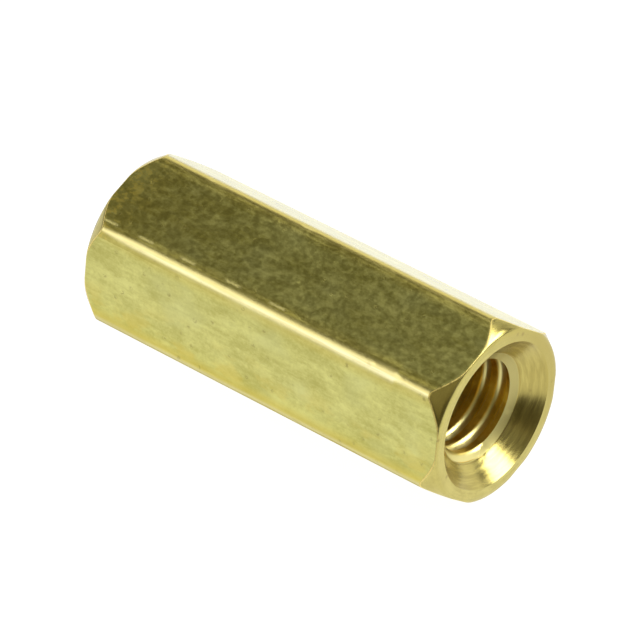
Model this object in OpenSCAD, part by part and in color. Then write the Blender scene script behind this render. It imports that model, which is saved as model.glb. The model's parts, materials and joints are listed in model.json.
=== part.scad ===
// Hexagonal standoff: a short length of drawn hex bar, faced and chamfered at both ends,
// drilled right through for a thread and countersunk at both mouths.
// Millimetres, +Z up. The bar lies along X on one of its flats, centred over the origin.

/* [Bar] */
// Width of the hexagonal bar between opposite flats
across_flats = 4.7; // [4.5:0.1:10]
// Overall length between the two end faces
length = 12; // [4:0.5:40]
// Rounding of the drawn bar's six long corners
corner_r = 0.3; // [0.05:0.05:0.4]

/* [Ends] */
// How far the round end edge stands outside the flats, so that the chamfer trims only the corners
chamfer_margin = 0.025; // [0.01:0.005:0.1]
// Angle between the chamfer's cone and the bar's axis
chamfer_angle = 33; // [20:1:60]

/* [Hole] */
// Outside diameter of the internal thread
thread_d = 3; // [2:0.1:3.4]
// Depth of the thread, from its outside diameter in to the drilled wall
thread_depth = 0.2; // [0.1:0.05:0.4]
// How far the countersunk mouth opens outside the thread
mouth_margin = 0.55; // [0.1:0.05:0.55]
// Included angle of the countersink
mouth_angle = 90; // [60:5:120]

/* [Hidden] */
$fn = 96;
brass = "#c8b85c";

// Cutting shapes run this far past the faces that they cut
overrun = 0.5;

// The six corners lie a whole number of these steps apart
corner_step = 60;
// Turned so, the section has a flat at the top and one at the bottom
corner_start = 30;

// Distance from the axis to a flat, and to a corner before it is rounded
flat_r = across_flats / 2;
sharp_r = flat_r / cos(corner_step / 2);
// Distance from the axis to the centre of a corner's rounding
round_r = (flat_r - corner_r) / cos(corner_step / 2);

// Radius of the end edge, and the chamfer's length where it would meet a sharp corner
end_r = flat_r + chamfer_margin;
chamfer_l = (sharp_r - end_r) / tan(chamfer_angle);

// Radii of the drilled wall and the countersunk mouth, and the countersink's depth
bore_r = thread_d / 2 - thread_depth;
mouth_r = thread_d / 2 + mouth_margin;
mouth_slope = tan(mouth_angle / 2);
mouth_depth = (mouth_r - bore_r) / mouth_slope;

// The bar's axis lies half a section above the surface that it rests on
half_l = length / 2;

// Point at distance r from the axis, in the section's plane
function polar(r, angle) = [r * cos(angle), r * sin(angle)];

// Section of the drawn bar: straight flats, joined by rounded corners
module bar_section() {
    angles = [for (i = [0:5]) corner_start + i * corner_step];
    polygon([
        for (a = angles, side = [-1, 1])
            polar(round_r, a) + polar(corner_r, a + side * corner_step / 2)
    ]);
    for (a = angles)
        translate(polar(round_r, a)) circle(corner_r);
}

// Bar stock, longer than the part, standing on its end
module hex_bar() {
    translate([0, 0, -half_l - overrun])
        linear_extrude(length + 2 * overrun) bar_section();
}

// Everything that the turned end faces and chamfers leave standing
module turned_envelope() {
    rotate_extrude() polygon([
        [0, -half_l],
        [end_r, -half_l],
        [sharp_r, -half_l + chamfer_l],
        [sharp_r, half_l - chamfer_l],
        [end_r, half_l],
        [0, half_l]
    ]);
}

// Drilled hole with a countersink at each mouth
module drilled_hole() {
    wide_r = mouth_r + overrun * mouth_slope;
    rotate_extrude() polygon([
        [0, -half_l - overrun],
        [wide_r, -half_l - overrun],
        [bore_r, -half_l + mouth_depth],
        [bore_r, half_l - mouth_depth],
        [wide_r, half_l + overrun],
        [0, half_l + overrun]
    ]);
}

// The standoff is one solid piece of brass, lying on a flat
module standoff_body() {
    color(brass)
        translate([0, 0, flat_r])
            rotate([0, 90, 0])
                difference() {
                    intersection() {
                        hex_bar();
                        turned_envelope();
                    }
                    drilled_hole();
                }
}

standoff_body();
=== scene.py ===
import json
import math

import bmesh
import bpy
import numpy as np
from mathutils import Matrix, Vector


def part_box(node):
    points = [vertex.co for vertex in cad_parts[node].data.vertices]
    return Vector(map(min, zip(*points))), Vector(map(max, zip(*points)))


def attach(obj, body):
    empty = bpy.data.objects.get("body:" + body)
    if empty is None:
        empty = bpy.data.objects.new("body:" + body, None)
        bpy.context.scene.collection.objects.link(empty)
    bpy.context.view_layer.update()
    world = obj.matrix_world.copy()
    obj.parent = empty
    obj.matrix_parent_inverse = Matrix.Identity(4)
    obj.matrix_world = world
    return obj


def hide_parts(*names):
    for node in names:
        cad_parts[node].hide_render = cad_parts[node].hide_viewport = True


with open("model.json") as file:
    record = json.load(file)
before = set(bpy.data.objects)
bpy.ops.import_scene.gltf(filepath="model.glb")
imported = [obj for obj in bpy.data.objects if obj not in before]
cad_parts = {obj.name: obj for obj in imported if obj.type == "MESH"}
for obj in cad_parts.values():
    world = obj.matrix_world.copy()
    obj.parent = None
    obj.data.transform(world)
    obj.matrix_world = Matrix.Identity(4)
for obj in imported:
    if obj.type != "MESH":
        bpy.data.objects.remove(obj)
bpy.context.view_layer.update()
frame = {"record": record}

# Drawn hexagonal bar
# The standoff is a short length of hexagonal brass bar. The die leaves six flats with rounded corners,
# and handling has rubbed those corners, the upper front one most, to a narrow band painted pale as a
# highlight.
MM = 0.001
low, high = (np.array(corner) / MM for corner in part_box("standoff_body"))
bar_length = high[0] - low[0]
half_length = bar_length / 2
across_flats = high[2] - low[2]
flat_radius = across_flats / 2
axis_height = low[2] + flat_radius

CORNERS = 6
CORNER_STEP = 2 * math.pi / CORNERS
HALF_STEP = CORNER_STEP / 2

# Columns of the mesh run along the bar. At a corner they stand at this share of an even spacing.
COLUMNS_PER_CORNER = 36
CORNER_SPACING = 0.25
column = np.arange(CORNERS * COLUMNS_PER_CORNER)
across_corner = (column % COLUMNS_PER_CORNER) / COLUMNS_PER_CORNER - 0.5
column_angle = CORNER_STEP * (
    column // COLUMNS_PER_CORNER
    + CORNER_SPACING * across_corner
    + (1 - CORNER_SPACING) * 4 * across_corner**3
)

# Rounding of the corners. The upper front one, given as (place along the bar, rounding), is rubbed
# rounder up to a step near the end at +X.
corner_rounding = 0.3
FRONT_CORNER = 2
FRONT_ROUNDING = (
    (-6.0, 0.14),
    (-5.5, 0.18),
    (-4.9, 0.29),
    (-4.2, 0.34),
    (0.0, 0.355),
    (2.0, 0.38),
    (3.5, 0.42),
    (4.38, 0.44),
    (4.46, 0.30),
    (5.0, 0.29),
    (6.0, 0.29),
)
rounding_unevenness = 0.02
RIPPLE_WAVES = (0.9, 2.3, 5.1, 9.7, 17.0)

# Each flat falls away a little just before its corners
fall_depth = 0.008
fall_length = 0.12

# Small knocks on the corners: corner, place along the bar, depth, length and width in degrees
KNOCKS = (
    (2, 3.62, 0.016, 0.07, 1.2),
    (2, 4.47, 0.020, 0.05, 1.6),
    (1, -0.6, 0.018, 0.16, 1.2),
    (1, -3.9, 0.012, 0.10, 1.0),
    (3, 1.4, 0.015, 0.12, 1.2),
    (0, 2.6, 0.015, 0.15, 1.3),
    (5, -2.2, 0.016, 0.10, 1.1),
    (4, 3.1, 0.014, 0.12, 1.1),
)


def ripple(place, seed):
    """A smooth wandering line between -1 and 1 along the bar, the same on each run."""
    phases = np.random.default_rng(seed).uniform(0, 2 * math.pi, len(RIPPLE_WAVES))
    waves = enumerate(zip(RIPPLE_WAVES, phases))
    return sum(np.sin(wave * place + phase) / (i + 1.5) for i, (wave, phase) in waves) / 2


def bar_radius(angle, place):
    """Distance from the axis to the bar's skin, and from there along the flat to a corner's rounding."""
    corner = np.round(angle / CORNER_STEP).astype(int)
    local = np.abs(angle - corner * CORNER_STEP)
    corner = corner % CORNERS
    rubbed = np.interp(place, *np.transpose(FRONT_ROUNDING))
    rounding = np.where(corner == FRONT_CORNER, rubbed, corner_rounding)
    for k in range(CORNERS):
        rounding = rounding + np.where(corner == k, rounding_unevenness * ripple(place, k), 0)
    centre = (flat_radius - rounding) / math.cos(HALF_STEP)
    inside = np.clip(rounding**2 - (centre * np.sin(local)) ** 2, 0, None)
    rounded = centre * np.cos(local) + np.sqrt(inside)
    to_corner = flat_radius * (math.tan(HALF_STEP) - np.tan(HALF_STEP - local))
    to_rounding = to_corner - rounding * math.tan(HALF_STEP)
    radius = np.where(to_rounding > 0, flat_radius / np.cos(HALF_STEP - local), rounded)
    radius = radius - fall_depth * np.exp(-np.clip(to_rounding, 0, None) / fall_length)
    for k, knock_place, depth, length, width in KNOCKS:
        spread = (local / math.radians(width)) ** 2 + ((place - knock_place) / length) ** 2
        radius = radius - np.where(corner == k, depth * np.exp(-spread), 0)
    return radius, to_rounding


class Field:
    """A number that varies over a surface, made of nodes, so that sums of nodes read as sums."""

    def __init__(self, tree, value):
        self.tree = tree
        self.value = value

    def reckon(self, operation, *others, flip=False):
        """What a Math node makes of this number and the others, in the opposite order if flip is set."""
        terms = [self, *others]
        terms = dict(enumerate(reversed(terms) if flip else terms))
        return made(self.tree, "ShaderNodeMath", terms, operation=operation)

    def __add__(self, other):
        return self.reckon("ADD", other)

    def __sub__(self, other):
        return self.reckon("SUBTRACT", other)

    def __rsub__(self, other):
        return self.reckon("SUBTRACT", other, flip=True)

    def __mul__(self, other):
        return self.reckon("MULTIPLY", other)

    def __truediv__(self, other):
        return self.reckon("DIVIDE", other)

    def __abs__(self):
        return self.reckon("ABSOLUTE")

    def least(self, other):
        return self.reckon("MINIMUM", other)

    def most(self, other):
        return self.reckon("MAXIMUM", other)

    def above(self, other):
        return self.reckon("GREATER_THAN", other)

    def below(self, other):
        return self.reckon("LESS_THAN", other)

    def mixed(self, other, share):
        """This number where share is 0, and the other where share is 1."""
        return self + (other - self) * share

    def eased(self, start, end):
        """0 below start, 1 above end, and a smooth rise between."""
        inputs = {"Value": self, "From Min": start, "From Max": end}
        return made(self.tree, "ShaderNodeMapRange", inputs, interpolation_type="SMOOTHSTEP")


def made(tree, kind, inputs, output=0, **settings):
    """One output of a new node, as a field. An input takes a field, a node's output or a plain value."""
    node = tree.nodes.new(kind)
    for name, value in settings.items():
        setattr(node, name, value)
    for name, value in inputs.items():
        value = value.value if isinstance(value, Field) else value
        if isinstance(value, bpy.types.NodeSocket):
            tree.links.new(value, node.inputs[name])
        else:
            node.inputs[name].default_value = value
    return Field(tree, node.outputs[output])


# Places of a Mix node's two colours among its inputs, and of its result among its outputs
FIRST_COLOUR, SECOND_COLOUR, MIXED_COLOUR = 6, 7, 2


class Finish:
    """A brass surface, with its colour, roughness and relief made of fields in millimetres."""

    def __init__(self, name):
        self.material = bpy.data.materials.new(name)
        self.material.use_nodes = True
        self.tree = self.material.node_tree
        self.shader = self.tree.nodes["Principled BSDF"]
        self.shader.inputs["Metallic"].default_value = 1.0

    def place(self, along=1):
        """Place in millimetres from the middle of the bar's axis, with its X multiplied by along."""
        where = made(self.tree, "ShaderNodeTexCoord", {}, "Object")
        scale = (along / MM, 1 / MM, 1 / MM)
        inputs = {"Vector": where, "Location": (0, 0, -axis_height), "Scale": scale}
        return made(self.tree, "ShaderNodeMapping", inputs)

    def axes(self):
        """The three parts of the place: along the bar, across it and upwards."""
        parts = made(self.tree, "ShaderNodeSeparateXYZ", {"Vector": self.place()}).value.node
        return [Field(self.tree, socket) for socket in parts.outputs]

    def noise(self, scale, along=1, detail=3.0, roughness=0.55, where=None):
        """Soft patches, which are drawn out along the bar where along is less than 1."""
        where = self.place(along) if where is None else where
        inputs = {"Vector": where, "Scale": scale, "Detail": detail, "Roughness": roughness}
        return made(self.tree, "ShaderNodeTexNoise", inputs, "Fac")

    def spots(self, scale, small, large):
        """Scattered round spots, 1 in the middle of each and 0 between them."""
        inputs = {"Vector": self.place(), "Scale": scale}
        return 1 - made(self.tree, "ShaderNodeTexVoronoi", inputs, "Distance").eased(small, large)

    def attribute(self, name):
        return made(self.tree, "ShaderNodeAttribute", {}, "Fac", attribute_name=name)

    def blend(self, first, second, share):
        """The first colour where share is 0, and the second where share is 1."""
        first, second = ((*tint, 1) if isinstance(tint, tuple) else tint for tint in (first, second))
        inputs = {FIRST_COLOUR: first, SECOND_COLOUR: second, "Factor": share}
        return made(self.tree, "ShaderNodeMix", inputs, MIXED_COLOUR, data_type="RGBA")

    def layered(self, colour, *layers):
        """The colour under layers of (tint, share), each of which lies over those before it."""
        for tint, share in layers:
            colour = self.blend(colour, tint, share)
        return colour

    def feed(self, name, field):
        self.tree.links.new(field.value, self.shader.inputs[name])

    def lay(self, colour, roughness, height):
        self.feed("Base Color", colour)
        self.feed("Roughness", roughness)
        self.feed("Normal", made(self.tree, "ShaderNodeBump", {"Height": height, "Distance": MM}))
        return self.material


# Short bright scuffs along the top flat, just behind the upper front corner
SCUFF_PLACES = (-5.44, -4.2, -2.76, -1.2, 0.3)
scuff_length = 0.55
scuff_width = 0.085
scuff_line = -1.07

# The bar is duller at the end at -X, and its top flat has gold flecks there
dull_end_length = 1.4


def scuffed(x, y, grain):
    """1 on the scuffs, broken up by the grain, and 0 between them."""
    line = 1 - abs(y - scuff_line).eased(0.1 * scuff_width, 0.85 * scuff_width)
    line = line * (grain.eased(0.3, 0.55) * 0.4 + 0.6)
    scuff = line * 0.0
    for scuff_place in SCUFF_PLACES:
        off = abs(x - scuff_place) + (grain - 0.5) * 0.3
        scuff = scuff.most(line * (1 - off.eased(0.35 * scuff_length, 0.6 * scuff_length)))
    return scuff


def drawn_brass():
    """Drawn flats: soft clouds, fine grain and streaks along the bar, pits, rubbed corners with a painted
    highlight, and gold that is partly painted shade.
    """
    finish = Finish("drawn_brass")
    x, y, z = finish.axes()
    blotch = finish.noise(2.2, along=0.45, roughness=0.5)
    cloud = finish.noise(4.0, along=0.6, roughness=0.6)
    streak = finish.noise(11.0, along=0.05, detail=2.0)
    drag = finish.noise(8.0, along=0.2, roughness=0.6)
    grain = finish.noise(17.0, along=0.8, detail=1.0)
    mottle = finish.noise(7.0, along=0.85, detail=2.0, roughness=0.6)
    haze = finish.noise(0.9, along=0.6, detail=2.0).eased(0.5, 0.72)
    fleck = finish.spots(1.7, small=0.03, large=0.09)
    pit = finish.spots(2.4, small=0.05, large=0.24) * grain.eased(0.44, 0.56)
    tone = (blotch * 0.4 + drag * 0.22 + mottle * 0.2 + grain * 0.12 + streak * 0.06).eased(0.32, 0.68)

    # Parts of the bar whose finish differs: the top flat, the dull end and the upper back flat
    top_flat = z.above(0.9 * flat_radius)
    dull_end = 1 - x.eased(-half_length, dull_end_length - half_length)
    out_back = y * math.cos(HALF_STEP) + z * math.sin(HALF_STEP)
    back_flat = out_back.eased(flat_radius - 0.025, flat_radius - 0.002)

    # Rubbed corners with drag marks, pale partly as a painted highlight. Gold beside them and in patches
    # on the sides, stronger low down, is partly painted shade: the shadowed floor that the lower front
    # reflects.
    to_corner = finish.attribute("to_corner")
    worn_and_highlight = 1 - to_corner.eased(-0.2, 0.03)
    rubbed_top = worn_and_highlight * z.eased(0.96 * flat_radius, flat_radius)
    rubbed_back = worn_and_highlight * y.eased(0.7, 1.1)
    dragged = streak.eased(0.42, 0.64)
    edge = 1 - to_corner.eased(0.0, 0.32)
    gilt_and_floor_shade = finish.noise(1.7, along=0.5).eased(0.46, 0.62)
    gilt_and_floor_shade = gilt_and_floor_shade * (z.eased(-1.2, 0.0) * 0.65 + 0.35) * (1 - z.eased(-0.2, 1.4))
    gold_and_floor_shade = (edge * (0.8 - z.eased(-1.5, 1.5) * 0.4)).most(gilt_and_floor_shade * 0.75)

    # The top flat is scuffed, and darker with tarnish towards the dull end
    scuff = scuffed(x, y, grain) * top_flat
    tarnish = (1 - x.eased(-half_length, 0.0)) * top_flat * (1 - tone * 0.6)
    gold_fleck = mottle.eased(0.48, 0.62) * dull_end * top_flat

    colour = finish.layered(
        finish.blend((0.47, 0.435, 0.098), (0.74, 0.715, 0.237), tone),
        ((0.65, 0.65, 0.26), haze * 0.4),
        # Gold beside the corners and low on the sides: partly painted shade of the shadowed floor
        ((0.69, 0.56, 0.11), gold_and_floor_shade),
        ((0.40, 0.33, 0.05), tarnish * 0.68),
        ((0.68, 0.53, 0.09), gold_fleck * 0.7),
        ((0.36, 0.31, 0.08), pit * 0.75),
        # Pale cream on the rubbed corners: a painted highlight over the rubbed brass
        ((0.76, 0.72, 0.43), worn_and_highlight),
        ((0.62, 0.52, 0.19), worn_and_highlight * dragged * 0.6),
        ((0.72, 0.60, 0.17), rubbed_top),
        ((0.64, 0.52, 0.09), rubbed_back * 0.8),
        ((0.78, 0.71, 0.29), scuff),
    )
    roughness = mottle.eased(0.3, 0.7) * 0.11 + cloud.eased(0.3, 0.7) * 0.02 + 0.28
    roughness = roughness + fleck * 0.15 + dull_end * 0.04 + edge * dragged * 0.14
    roughness = roughness.mixed(0.3, worn_and_highlight).most(scuff * 0.7) + back_flat * 0.42
    height = (grain * 0.001 + streak * 0.0007 - pit * 0.004) * (1 - worn_and_highlight * 0.7)

    # A thin lacquer is gone from the lower front and the upper back corner, and thickest on the back
    # flat. The lower front's golden specular tint is painted shade, for the shadowed floor that its edges
    # reflect.
    bare_and_floor_shade = (1 - z.eased(0.0, 0.9)) * (1 - y.eased(-1.0, 0.0))
    finish.shader.inputs["Coat Roughness"].default_value = 0.12
    finish.feed("Coat Weight", ((1 - bare_and_floor_shade) * 0.6 + back_flat * 0.27) * (1 - rubbed_back))
    finish.feed("Specular Tint", finish.blend((1, 1, 1), (0.5, 0.43, 0.2), bare_and_floor_shade))
    return finish.lay(colour, roughness, height)


flat_finish = drawn_brass()

# Turned ends
# Both ends were faced and chamfered in a lathe. The chamfer's cone is only just wider than the flats at
# the end face, so it trims the corners and leaves a curved edge across each flat.
chamfer_margin = 0.025
chamfer_angle = math.radians(33)
end_radius = flat_radius + chamfer_margin

# The end edges are broken over this length, but over no more than this share of a narrow chamfer
edge_break = 0.035
BREAK_LIMIT = 0.45

# The middle of a broken edge lies inside the sharp one by this share of the break on each side
BREAK_BEND = 0.25

# Where the chamfer all but vanishes, in the middle of a flat, its edge draws in by this share
SOFTENING = 0.3

thread_mount = next(m for m in frame["record"]["mounts"] if m["name"] == "thread_front")
bore_radius = thread_mount["dims"]["r_mm"]
mouth_depth = (bar_length - thread_mount["dims"]["length_mm"]) / 2
mouth_angle = math.radians(90)
mouth_slope = math.tan(mouth_angle / 2)
mouth_radius = bore_radius + mouth_depth * mouth_slope

# The tap has raised a narrow ragged lip round the inner edge of each countersink
lip_radius = 1.53
lip_slope = 1.75
lip_raggedness = 0.012

CHAMFER_ROWS = 4
RING_ROWS = 4
BAR_ROWS = 190
CHAMFER_PASSES = 4


def end_rows(angle):
    """Rows of (place, radius) from the bar's skin over the chamfer and the end ring to the mouth."""
    # The rounding changes along the bar, so the place where the chamfer starts is found in a few passes
    start = np.full_like(angle, half_length)
    for _ in range(CHAMFER_PASSES):
        radius, _ = bar_radius(angle, start)
        rise = np.clip(radius - end_radius, 0, None)
        start = half_length - rise / math.tan(chamfer_angle)
    onward, inward = math.cos(chamfer_angle), math.sin(chamfer_angle)
    slant = rise / inward
    trim = np.minimum(edge_break, slant * BREAK_LIMIT)
    softened = SOFTENING * edge_break * (1 - np.clip(slant / (2 * edge_break), 0, 1))
    bend_place = start + BREAK_BEND * (trim * onward - edge_break) - softened
    bend_radius = radius - BREAK_BEND * trim * inward - SOFTENING * softened
    rows = [(start - edge_break, radius), (bend_place, bend_radius)]
    for share in np.linspace(0, 1, CHAMFER_ROWS):
        along = trim + (slant - 2 * trim) * share
        rows.append((start + along * onward - softened, radius - along * inward - softened))
    outer = radius - rise - edge_break
    for share in np.linspace(0, 1, RING_ROWS):
        rows.append((np.full_like(angle, half_length), outer + (mouth_radius - outer) * share))
    return rows


def skin_rows():
    """All the rows of the bar's outside, from the mouth at -X to the mouth at +X."""
    front = end_rows(column_angle)
    first = front[0][0]
    rows = [(-place, radius) for place, radius in reversed(front[1:])]
    for share in np.linspace(-1, 1, BAR_ROWS):
        rows.append((first * share, bar_radius(column_angle, first * share)[0]))
    return rows + front[1:]


rows = skin_rows()
places = np.array([place for place, _ in rows])
radii = np.array([radius for _, radius in rows])
skin_points = np.stack(
    [places, radii * np.cos(column_angle), axis_height + radii * np.sin(column_angle)],
    axis=-1,
)
to_rounding = bar_radius(np.broadcast_to(column_angle, places.shape), places)[1]
columns = len(column_angle)
skin_faces = []
turned_face = []
END_ROWS = 1 + CHAMFER_ROWS + RING_ROWS
for r in range(len(rows) - 1):
    for c in range(columns):
        d = (c + 1) % columns
        quad = ((r, c), (r, d), (r + 1, d), (r + 1, c))
        skin_faces.append([row * columns + col for row, col in quad])
        turned_face.append(r < END_ROWS or r >= len(rows) - 1 - END_ROWS)

# The chamfer's outer edge is painted bright gold as a highlight
edge_glint = np.zeros(places.shape, np.float32)
edge_glint[[END_ROWS - 1, -END_ROWS]] = 1

skin_mesh = bpy.data.meshes.new("bar_skin")
skin_mesh.from_pydata((skin_points.reshape(-1, 3) * MM).tolist(), [], skin_faces)
for name, values in {"to_corner": to_rounding, "chamfer_glint": edge_glint}.items():
    attribute = skin_mesh.attributes.new(name, "FLOAT", "POINT")
    attribute.data.foreach_set("value", values.ravel().astype(np.float32))


def turned_brass():
    """Turned faces: broken rings left by the tool round the axis, a painted highlight along the chamfer's
    outer edge, and a lip with a dark line round it.
    """
    finish = Finish("turned_brass")
    _, y, z = finish.axes()
    from_axis = (y * y + z * z).reckon("SQRT")
    rings = {"X": from_axis * 13.0, "Y": y / from_axis * 2.0, "Z": z / from_axis * 2.0}
    ring = finish.noise(1.0, roughness=0.6, where=made(finish.tree, "ShaderNodeCombineXYZ", rings))
    cloud = finish.noise(1.8)
    grain = finish.noise(14.0)
    speck = finish.spots(1.5, small=0.03, large=0.12)
    edge_glint = finish.attribute("chamfer_glint") * (grain.eased(0.3, 0.5) * 0.6 + 0.4)
    cone = 1 - from_axis.eased(mouth_radius - 0.04, mouth_radius)
    lip = 1 - from_axis.eased(lip_radius - 0.03, lip_radius)
    lip_line = 1 - abs(from_axis - lip_radius - 0.01).eased(0.0, 0.025)
    tone = (ring * 0.4 + cloud * 0.4 + grain * 0.2).eased(0.35, 0.65)
    # The countersink is darker than the end ring, with the tool's rings in it
    countersink_rings = finish.blend((0.40, 0.33, 0.098), (0.52, 0.44, 0.138), ring.eased(0.36, 0.64))
    colour = finish.layered(
        finish.blend((0.48, 0.41, 0.122), (0.59, 0.515, 0.168), tone),
        # Darker and more golden towards +Y
        ((0.46, 0.38, 0.105), y.eased(0.3, 2.2) * 0.8),
        (countersink_rings, cone * 0.8),
        ((0.30, 0.22, 0.07), speck * 0.5),
        ((0.48, 0.42, 0.16), lip),
        ((0.34, 0.26, 0.07), lip_line * 0.6),
        # A painted highlight along the chamfer's outer edge
        ((0.95, 0.78, 0.27), edge_glint),
    )
    roughness = (ring.eased(0.3, 0.7) * 0.05 + 0.2).mixed(0.4, lip).mixed(0.62, edge_glint)
    marks = 1 - from_axis.eased(end_radius - 0.04, end_radius)
    return finish.lay(colour, roughness, (ring * 0.003 + grain * 0.0003) * marks)


end_finish = turned_brass()

# Tapped hole
# A drill went right through, a countersink opened both mouths, and a tap cut a right-hand M3 thread.
# The thread is a groove with sloping flanks that winds along the drilled wall and runs out in each
# countersink.
thread_radius = 1.5
thread_pitch = 0.5
thread_start = math.radians(176)
CREST_SHARE = 0.375
FLANK_SHARE = 0.25
ROWS_PER_TURN = 8
weld_distance = 0.0005 * MM

# The grid runs this many turns past the hole's length, half of them at each mouth
SPARE_TURNS = 3

# Scale of the lip's raggedness, and the depth past the lip's circle over which it grows
ragged_scale = 4.0
ragged_rise = 0.1


def tapped_hole_tree():
    """Geometry Nodes that bend a grid into the hole's wall, and the sizes for the tree's inputs."""
    tree = bpy.data.node_groups.new("tapped_hole", "GeometryNodeTree")
    sizes = {
        "Length": bar_length,
        "Mouth Radius": mouth_radius,
        "Mouth Slope": mouth_slope,
        "Lip Radius": lip_radius,
        "Lip Slope": lip_slope,
        "Lip Raggedness": lip_raggedness,
        "Bore Radius": bore_radius,
        "Thread Radius": thread_radius,
        "Pitch": thread_pitch,
        "Start": thread_start,
        "Axis Height": axis_height,
    }
    for name in sizes:
        tree.interface.new_socket(name, in_out="INPUT", socket_type="NodeSocketFloat")
    tree.interface.new_socket("Material", in_out="INPUT", socket_type="NodeSocketMaterial")
    tree.interface.new_socket("Geometry", in_out="OUTPUT", socket_type="NodeSocketGeometry")
    ask = tree.nodes.new("NodeGroupInput")
    size = {name: Field(tree, ask.outputs[name]) for name in sizes}

    turns = math.ceil(bar_length / thread_pitch) + SPARE_TURNS
    column_points = turns * ROWS_PER_TURN + 1
    grid = made(tree, "GeometryNodeMeshGrid", {"Vertices X": columns + 1, "Vertices Y": column_points})

    # Columns stand at the same angles as those of the bar, so that the mouths weld
    index = made(tree, "GeometryNodeInputIndex", {})
    col = (index / column_points).reckon("FLOOR")
    row = index - col * column_points
    corner = (col / COLUMNS_PER_CORNER).reckon("FLOOR")
    across = (col - corner * COLUMNS_PER_CORNER) / COLUMNS_PER_CORNER - 0.5
    bend = across * across * across * (4 * (1 - CORNER_SPACING))
    angle = (corner + across * CORNER_SPACING + bend) * CORNER_STEP
    cosine, sine = angle.reckon("COSINE"), angle.reckon("SINE")

    # Rows follow the thread: each turn has a flat crest, a flank, a narrow root and the other flank
    turn = row / ROWS_PER_TURN
    half = size["Length"] / 2
    place = half + size["Pitch"] * (SPARE_TURNS / 2 - turn + (angle + size["Start"]) / (2 * math.pi))
    phase = turn.reckon("FRACT")
    rising = (phase - CREST_SHARE) / FLANK_SHARE
    falling = (1 - phase) / FLANK_SHARE
    cut = rising.least(falling).most(0.0).least(1.0)
    wall = size["Bore Radius"] + (size["Thread Radius"] - size["Bore Radius"]) * cut

    # Countersink, which is flatter and ragged inside the lip's circle
    round_place = made(tree, "ShaderNodeCombineXYZ", {"X": place, "Y": cosine, "Z": sine})
    ragged = made(tree, "ShaderNodeTexNoise", {"Vector": round_place, "Scale": ragged_scale}, "Fac")
    from_end = half - abs(place)
    cone = size["Mouth Radius"] - from_end * size["Mouth Slope"]
    past_lip = from_end - (size["Mouth Radius"] - size["Lip Radius"]) / size["Mouth Slope"]
    rough_lip = (ragged - 0.5) * 2 * size["Lip Raggedness"] * past_lip.eased(0.0, ragged_rise)
    cone = cone.least(size["Lip Radius"] - past_lip * size["Lip Slope"] + rough_lip)
    excess = cone - wall

    def beside(field, step):
        """The field at the next point along the same column."""
        inputs = {"Value": field, "Index": index + step}
        return made(tree, "GeometryNodeFieldAtIndex", inputs, domain="POINT")

    def crossed(level, inside, step):
        """1 at a point inside if the level falls below zero at the next one, and the share of the way."""
        beyond = beside(level, step)
        return inside * beyond.below(0.0), level / (level - beyond)

    # A point inside the countersink slides to the lip's circle, or to the edge between cone and thread
    met = excess.above(0.0)
    slid_place, slid_wall = place, wall
    on_lip = on_edge = met * 0.0
    for step in (-1, 1):
        crossing, share = crossed(past_lip, met * past_lip.above(0.0), step)
        slid_place = slid_place.mixed(place.mixed(beside(place, step), share), crossing)
        on_lip = on_lip.most(crossing)
    for step in (-1, 1):
        crossing, share = crossed(excess, met, step)
        slid_place = slid_place.mixed(place.mixed(beside(place, step), share), crossing)
        slid_wall = slid_wall.mixed(wall.mixed(beside(wall, step), share), crossing)
        on_edge = on_edge.most(crossing)
    radius = wall.mixed(cone, met).mixed(size["Lip Radius"], on_lip).mixed(slid_wall, on_edge)
    radius = radius.least(size["Mouth Radius"])
    height = radius * sine + size["Axis Height"]
    place = slid_place.most(half * -1).least(half)
    spot = {"X": place * MM, "Y": radius * cosine * MM, "Z": height * MM}
    point = made(tree, "ShaderNodeCombineXYZ", spot)

    # Points are marked 1 in the countersink, a half on its edge with the thread, and 0 in the thread
    mark = {"Geometry": grid, "Name": "countersunk", "Value": met - on_edge * 0.5}
    marked = made(tree, "GeometryNodeStoreNamedAttribute", mark)
    bent = made(tree, "GeometryNodeSetPosition", {"Geometry": marked, "Position": point})
    welded = made(tree, "GeometryNodeMergeByDistance", {"Geometry": bent, "Distance": weld_distance})
    real = made(tree, "GeometryNodeRealizeInstances", {"Geometry": welded})
    paint = {"Geometry": real, "Material": ask.outputs["Material"]}
    painted = made(tree, "GeometryNodeSetMaterial", paint)
    tree.links.new(painted.value, tree.nodes.new("NodeGroupOutput").inputs["Geometry"])
    return tree, sizes


def threaded_brass():
    """Tapped wall: torn, painted dark and warm as shade in the groove, and painted pale as light where a
    flank faces the nearer mouth.
    """
    finish = Finish("threaded_brass")
    x, _, _ = finish.axes()
    normal = made(finish.tree, "ShaderNodeTexCoord", {}, "Normal")
    facing = made(finish.tree, "ShaderNodeSeparateXYZ", {"Vector": normal}, "X") * x.reckon("SIGN")
    painted_mouth_light = facing.eased(0.2, 0.7)
    grain = finish.noise(5.0, detail=1.0)
    patch = grain.eased(0.3, 0.7)
    torn_and_shaded = finish.blend((0.63, 0.425, 0.08), (0.72, 0.51, 0.113), patch)
    # Painted light: pale where a flank faces the nearer mouth, and dark and warm in the groove as painted
    # shade
    colour = finish.blend(torn_and_shaded, (0.74, 0.66, 0.27), painted_mouth_light)
    return finish.lay(colour, patch * 0.08 + 0.29, grain * 0.001)


thread_finish = threaded_brass()
hole = bpy.data.objects.new("hole_wall", bpy.data.meshes.new("hole_wall"))
bpy.context.scene.collection.objects.link(hole)
tapping = hole.modifiers.new("tapped_hole", "NODES")
tapping.node_group, hole_sizes = tapped_hole_tree()
for socket in tapping.node_group.interface.items_tree:
    if socket.in_out == "INPUT":
        tapping[socket.identifier] = hole_sizes.get(socket.name, thread_finish)
hole_mesh = bpy.data.meshes.new_from_object(hole.evaluated_get(bpy.context.evaluated_depsgraph_get()))
bpy.data.objects.remove(hole)

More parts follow.
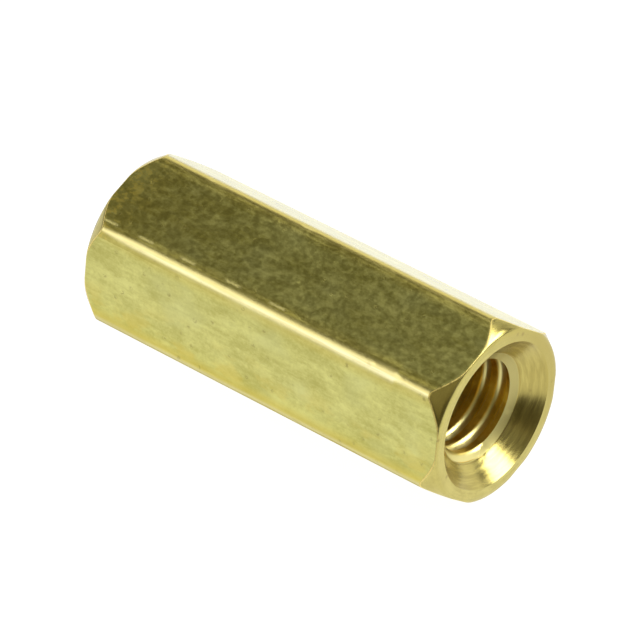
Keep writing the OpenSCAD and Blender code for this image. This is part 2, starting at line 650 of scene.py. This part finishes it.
# Finished standoff
# Bar, ends and hole are one piece of brass, so their meshes are welded along the two mouths into one
# closed skin. Screws have rounded the thread's crests on the side of the nearer mouth, and the other
# edges are still sharp.
FLAT, TURNED, THREADED = range(3)
sharp_angle = math.radians(33)
crest_margin = 0.03
outward_tilt = 0.5
sliver_length = 0.0002 * MM

# Marks of the hole's points: up to the first in the thread, from the second to the third on its edge
THREAD_MARK, EDGE_LOW, EDGE_HIGH = 0.1, 0.2, 0.8

work = bmesh.new()
work.from_mesh(skin_mesh)
for face, turned in zip(work.faces, turned_face):
    face.material_index = TURNED if turned else FLAT
skin_face_count = len(work.faces)
work.from_mesh(hole_mesh)
work.faces.ensure_lookup_table()
countersunk = work.verts.layers.float["countersunk"]

# A face of the hole that straddles the thread's edge is split along it, so that each side has its finish
for face in work.faces[skin_face_count:]:
    corners = face.verts[:]
    marks = [vert[countersunk] for vert in corners]
    for i in range(len(corners) - 2):
        along_edge = EDGE_LOW < marks[i] < EDGE_HIGH and EDGE_LOW < marks[i + 2] < EDGE_HIGH
        if len(corners) == 4 and along_edge and abs(marks[i + 1] - marks[i - 1]) > EDGE_HIGH:
            bmesh.utils.face_split(face, corners[i], corners[i + 2])
            break
work.faces.ensure_lookup_table()
for face in work.faces[skin_face_count:]:
    in_cone = min(vert[countersunk] for vert in face.verts) > THREAD_MARK
    face.material_index = TURNED if in_cone else THREADED
bmesh.ops.remove_doubles(work, verts=work.verts, dist=weld_distance)
bmesh.ops.dissolve_degenerate(work, edges=work.edges, dist=sliver_length)
bmesh.ops.recalc_face_normals(work, faces=work.faces)
for face in work.faces:
    face.smooth = True
for edge in work.edges:
    spot = (edge.verts[0].co + edge.verts[1].co) / 2 / MM
    crest = math.hypot(spot.y, spot.z - axis_height) < bore_radius + crest_margin
    tilt = max(face.normal.x * math.copysign(1, spot.x) for face in edge.link_faces)
    threaded = all(face.material_index == THREADED for face in edge.link_faces)
    rounded = threaded and crest and tilt > outward_tilt
    edge.smooth = edge.calc_face_angle(0) < sharp_angle or rounded
standoff_mesh = bpy.data.meshes.new("standoff")
work.to_mesh(standoff_mesh)
work.free()
for finish in (flat_finish, end_finish, thread_finish):
    standoff_mesh.materials.append(finish)
standoff = bpy.data.objects.new("standoff", standoff_mesh)
bpy.context.scene.collection.objects.link(standoff)
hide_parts("standoff_body")
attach(standoff, "root")

# Floor, light and camera
# A pale glowing table top, soft boxes round it and a dim ceiling, as for a small catalogue picture.
# The camera looks down on the standoff from the end at +X, with a long lens.
floor_reach = 300 * MM
floor_corners = [(x * floor_reach, y * floor_reach, 0) for x, y in ((-1, -1), (1, -1), (1, 1), (-1, 1))]
floor_mesh = bpy.data.meshes.new("floor")
floor_mesh.from_pydata(floor_corners, [], [(0, 1, 2, 3)])
floor = bpy.data.objects.new("floor", floor_mesh)
bpy.context.scene.collection.objects.link(floor)
floor_paint = bpy.data.materials.new("floor")
floor_paint.use_nodes = True
floor_tree = floor_paint.node_tree
floor_shader = floor_tree.nodes["Principled BSDF"]
floor_shader.inputs["Base Color"].default_value = (0.2, 0.2, 0.2, 1)
floor_shader.inputs["Roughness"].default_value = 0.9
floor_shader.inputs["Emission Strength"].default_value = 1.0


def glow_ramp(tree, place, reach, stops):
    """Light that follows (place, colour) stops, with places as shares of the reach."""
    glow = made(tree, "ShaderNodeValToRGB", {"Fac": place / reach}, "Color")
    ramp = glow.value.node.color_ramp
    while len(ramp.elements) < len(stops):
        ramp.elements.new(0.5)
    for stop, (share, colour) in zip(ramp.elements, stops):
        stop.position = share
        stop.color = (*colour, 1)
    return glow


FLOOR_GLOW = ((0.12, (0.94, 0.94, 0.94)), (0.3, (0.8, 0.8, 0.8)), (0.8, (0.3, 0.3, 0.3)))
floor_glow_reach = 100 * MM
on_floor = made(floor_tree, "ShaderNodeTexCoord", {}, "Object")
from_middle = made(floor_tree, "ShaderNodeVectorMath", {0: on_floor}, "Value", operation="LENGTH")
floor_glow = glow_ramp(floor_tree, from_middle, floor_glow_reach, FLOOR_GLOW)
floor_tree.links.new(floor_glow.value, floor_shader.inputs["Emission Color"])
floor_mesh.materials.append(floor_paint)

middle = Vector((0, 0, axis_height * MM))


def direction(azimuth, elevation):
    """Unit vector at an angle round from +X and an angle above the floor, both in degrees."""
    a, e = math.radians(azimuth), math.radians(elevation)
    return Vector((math.cos(a) * math.cos(e), math.sin(a) * math.cos(e), math.sin(e)))


def soft_box(name, azimuth, elevation, distance, width, height, glow, tint=(1, 1, 1)):
    """A rectangular lamp that faces the standoff, with its sizes and distance in millimetres."""
    lamp = bpy.data.lights.new(name, "AREA")
    lamp.shape = "RECTANGLE"
    lamp.size = width * MM
    lamp.size_y = height * MM
    lamp.energy = glow * math.pi * lamp.size * lamp.size_y
    lamp.color = tint
    box = bpy.data.objects.new(name, lamp)
    out = direction(azimuth, elevation)
    box.location = middle + out * distance * MM
    box.rotation_euler = out.to_track_quat("Z", "Y").to_euler()
    bpy.context.scene.collection.objects.link(box)


# Azimuth and elevation in degrees, distance, width and height in millimetres, glow, and tint if any
soft_box("front_soft_box", -142, 39, 90, 95, 70, 1.55)
soft_box("front_low_soft_box", -128, 9, 90, 110, 31, 0.75)
soft_box("back_soft_box", 45.5, 27.5, 90, 60, 53, 7.5)
soft_box("back_low_soft_box", 92, 8.5, 90, 54, 30, 0.75)
soft_box("side_soft_box", 140, 12, 90, 100, 38, 1.2)
soft_box("top_soft_box", 84, 61, 90, 34, 44, 2.4)
soft_box("camera_soft_box", -33, 50, 220, 180, 180, 0.19, (1, 0.88, 0.6))
soft_box("right_soft_box", 8, 20, 90, 50, 40, 0.16)

# The ceiling's glow by height, from the horizon up. The camera sees plain white instead.
SKY_GLOW = (
    (0.0, (0.21, 0.2, 0.16)),
    (0.05, (0.13, 0.12, 0.08)),
    (0.3, (0.095, 0.08, 0.04)),
    (0.5, (0.10, 0.085, 0.045)),
    (0.75, (0.128, 0.12, 0.077)),
)
world = bpy.data.worlds.new("studio")
bpy.context.scene.world = world
world.use_nodes = True
air = world.node_tree
look = made(air, "ShaderNodeTexCoord", {}, "Generated")
height = made(air, "ShaderNodeSeparateXYZ", {"Vector": look}, "Z")
seen = made(air, "ShaderNodeLightPath", {}, "Is Camera Ray")
skies = {FIRST_COLOUR: glow_ramp(air, height, 1.0, SKY_GLOW), SECOND_COLOUR: (1, 1, 1, 1), "Factor": seen}
sky = made(air, "ShaderNodeMix", skies, MIXED_COLOUR, data_type="RGBA")
air.links.new(sky.value, air.nodes["Background"].inputs["Color"])

camera_azimuth = -32.70
camera_elevation = 50.29
camera_roll = math.radians(-23.36)
camera_distance = 158.08
camera_lens = 345.6
aim_right, aim_up = 0.064, 0.148
back = direction(camera_azimuth, camera_elevation)
level = direction(camera_azimuth + 90, 0)
right = level * math.cos(camera_roll) + back.cross(level) * math.sin(camera_roll)
up = back.cross(right)
camera_data = bpy.data.cameras.new("camera")
camera_data.sensor_width = 36
camera_data.lens = camera_lens
camera_data.clip_start = MM
camera = bpy.data.objects.new("camera", camera_data)
bpy.context.scene.collection.objects.link(camera)
camera.matrix_world = Matrix((right, up, back)).transposed().to_4x4()
camera.location = middle + (right * aim_right + up * aim_up + back * camera_distance) * MM
bpy.context.scene.camera = camera
bpy.context.scene.view_settings.view_transform = "Standard"
